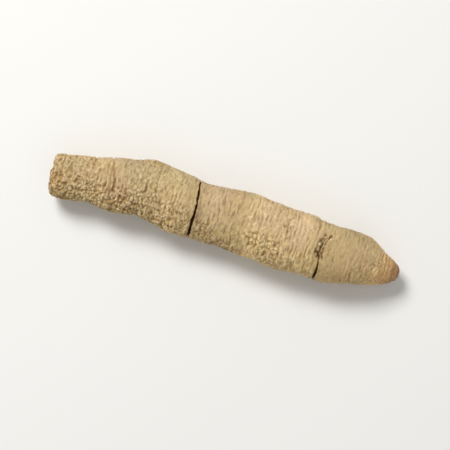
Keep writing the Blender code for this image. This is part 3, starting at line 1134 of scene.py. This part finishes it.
def make_bark():
    """The bark's material."""
    bark = bpy.data.materials.new("morinda bark")
    bark.use_nodes = True
    tree = bark.node_tree
    surface = tree.nodes["Principled BSDF"]
    surface.inputs["Specular IOR Level"].default_value = DUSTY_SHINE
    group = tree.nodes.new("ShaderNodeGroup")
    group.node_tree = bark_group()
    for socket, name, output in (
        ("Place", "skin_place", "Vector"),
        ("Pebbly", "pebbly", "Fac"),
        ("Wrinkled", "wrinkled", "Fac"),
        ("Broken", "broken", "Fac"),
        ("Cracked", "cracked", "Fac"),
    ):
        attribute = tree.nodes.new("ShaderNodeAttribute")
        attribute.attribute_name = name
        tree.links.new(attribute.outputs[output], group.inputs[socket])
    bump = tree.nodes.new("ShaderNodeBump")
    bump.inputs["Distance"].default_value = MM
    tree.links.new(group.outputs["Height"], bump.inputs["Height"])
    tree.links.new(bump.outputs["Normal"], surface.inputs["Normal"])
    tree.links.new(group.outputs["Colour"], surface.inputs["Base Color"])
    tree.links.new(group.outputs["Roughness"], surface.inputs["Roughness"])
    return bark


bark = make_bark()
print("bark made of", len(bark.node_tree.nodes), "nodes and a group")

# %% [markdown]
# ## The root as a plain mesh
#
# Now the tree is put on the chain of rings as a modifier, and its inputs are set before it
# runs for the first time. The result is copied into a plain mesh and the chain is deleted, so
# that the finished piece stands without its modifier. The last calls say that this piece is
# seen in place of the imported solid, moves with the root, and is made of bark.

# %% Grow the root


def set_input(modifier, name, value):
    """Sets a Geometry Nodes input by its socket's identifier."""
    for item in modifier.node_group.interface.items_tree:
        if item.item_type == "SOCKET" and item.in_out == "INPUT" and item.name == name:
            modifier[item.identifier] = value
            return
    raise KeyError(name)


def plain_mesh(source, name):
    """Evaluates an object's modifiers and gives back a plain object with the result."""
    graph = bpy.context.evaluated_depsgraph_get()
    mesh = bpy.data.meshes.new_from_object(
        source.evaluated_get(graph), preserve_all_data_layers=True, depsgraph=graph
    )
    mesh.name = name
    piece = bpy.data.objects.new(name, mesh)
    bpy.context.scene.collection.objects.link(piece)
    bpy.data.objects.remove(source)
    return piece


chain_object = bpy.data.objects.new("ring chain", chain)
bpy.context.scene.collection.objects.link(chain_object)
growth = chain_object.modifiers.new("grow", "NODES")
growth.node_group = root_tree
set_input(growth, "Sides", SIDES)
set_input(growth, "Lowest corner", tuple(cad_low))
set_input(growth, "Highest corner", tuple(cad_high))
set_input(growth, "Bark", bark)
root = plain_mesh(chain_object, "root_skin")
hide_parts(NODE)
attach(root, "root")
triangles = sum(len(face.vertices) - 2 for face in root.data.polygons)
print("the root has", len(root.data.vertices), "points and", triangles, "triangles")

# %% [markdown]
# ## Camera, floor and light
#
# The camera looks straight down, as in the photograph, and is turned so that the root slants
# down to the right. A long lens keeps the perspective flat. The light is soft, from a lamp on
# the side that the far edge faces, with a wider and weaker one opposite, over a pale floor.
# The floor glows a little far out, and the sky is brighter low down, so that in a low view
# the floor fades into the backdrop with no hard line.

# %% Camera
# The picture is twice as close as the photograph, in which a pixel is 0.4944 mm.
PICTURE_PIXELS = 450
MM_PER_PIXEL = 0.4944 / 2.0
SLANT = math.radians(16.85)
AIM = Vector((0.00023, -0.001775, 0.007))
LENS = 135.0
SENSOR = 36.0
NEAREST_SEEN = 0.01

camera_data = bpy.data.cameras.new("camera")
camera_data.lens = LENS
camera_data.sensor_width = SENSOR
camera_data.clip_start = NEAREST_SEEN
camera = bpy.data.objects.new("camera", camera_data)
bpy.context.scene.collection.objects.link(camera)
distance = PICTURE_PIXELS * MM_PER_PIXEL * MM * LENS / SENSOR
camera.location = AIM + Vector((0.0, 0.0, distance))
camera.rotation_euler = (0.0, 0.0, SLANT)
bpy.context.scene.camera = camera
print("camera", round(distance, 3), "m above the root")

# %% Floor and lights
FLOOR_RADIUS = 3.0
FLOOR_SIDES = 96
FLOOR_DROP = 0.0001
FLOOR_COLOUR = linear(238, 237, 233)
FLOOR_ROUGHNESS = 0.9
GLOW_REACH = (0.3, 1.6)
GLOW = 0.5
BACKDROP = 0.85
BACKDROP_REACH = (0.1, 0.3)
OVERHEAD = 0.37
WHITE = (1.0, 1.0, 1.0, 1.0)
# The lamps: place, side and power.
KEY_LAMP = ((-0.4, 0.36, 0.64), 0.3, 6.0)
FILL_LAMP = ((0.3, -0.6, 0.7), 0.8, 0.6)


def make_floor():
    """A large round pale floor, which glows a little far out."""
    middle = (0.0, 0.0, -FLOOR_DROP)
    bpy.ops.mesh.primitive_circle_add(
        vertices=FLOOR_SIDES, radius=FLOOR_RADIUS, fill_type="NGON", location=middle
    )
    floor = bpy.context.object
    floor.name = "floor"
    paper = bpy.data.materials.new("pale paper")
    paper.use_nodes = True
    tree = paper.node_tree
    surface = tree.nodes["Principled BSDF"]
    surface.inputs["Base Color"].default_value = FLOOR_COLOUR
    surface.inputs["Roughness"].default_value = FLOOR_ROUGHNESS
    surface.inputs["Emission Color"].default_value = WHITE
    from_middle = length(add_node(tree, "ShaderNodeTexCoord", output="Object"))
    join(tree, from_middle.step(*GLOW_REACH, 0.0, GLOW), surface.inputs["Emission Strength"])
    floor.data.materials.append(paper)


def make_world():
    """Soft white light from all round, brighter low down, where it is the backdrop."""
    world = bpy.data.worlds.new("studio")
    world.use_nodes = True
    tree = world.node_tree
    sky = tree.nodes["Background"]
    sky.inputs["Color"].default_value = WHITE
    height = add_node(tree, "ShaderNodeTexCoord", output="Generated").axis(2)
    join(tree, height.step(*BACKDROP_REACH, BACKDROP, OVERHEAD), sky.inputs["Strength"])
    bpy.context.scene.world = world


def add_lamp(name, place, size, power):
    """A square area lamp at a place, facing the root."""
    lamp_data = bpy.data.lights.new(name, "AREA")
    lamp_data.size = size
    lamp_data.energy = power
    lamp = bpy.data.objects.new(name, lamp_data)
    bpy.context.scene.collection.objects.link(lamp)
    lamp.location = place
    lamp.rotation_euler = (-Vector(place)).to_track_quat("-Z", "Y").to_euler()


make_floor()
add_lamp("key", *KEY_LAMP)
add_lamp("fill", *FILL_LAMP)
make_world()
bpy.context.scene.view_settings.view_transform = "Standard"
print("floor", 2 * FLOOR_RADIUS, "m across, lit by 2 lamps and the sky")
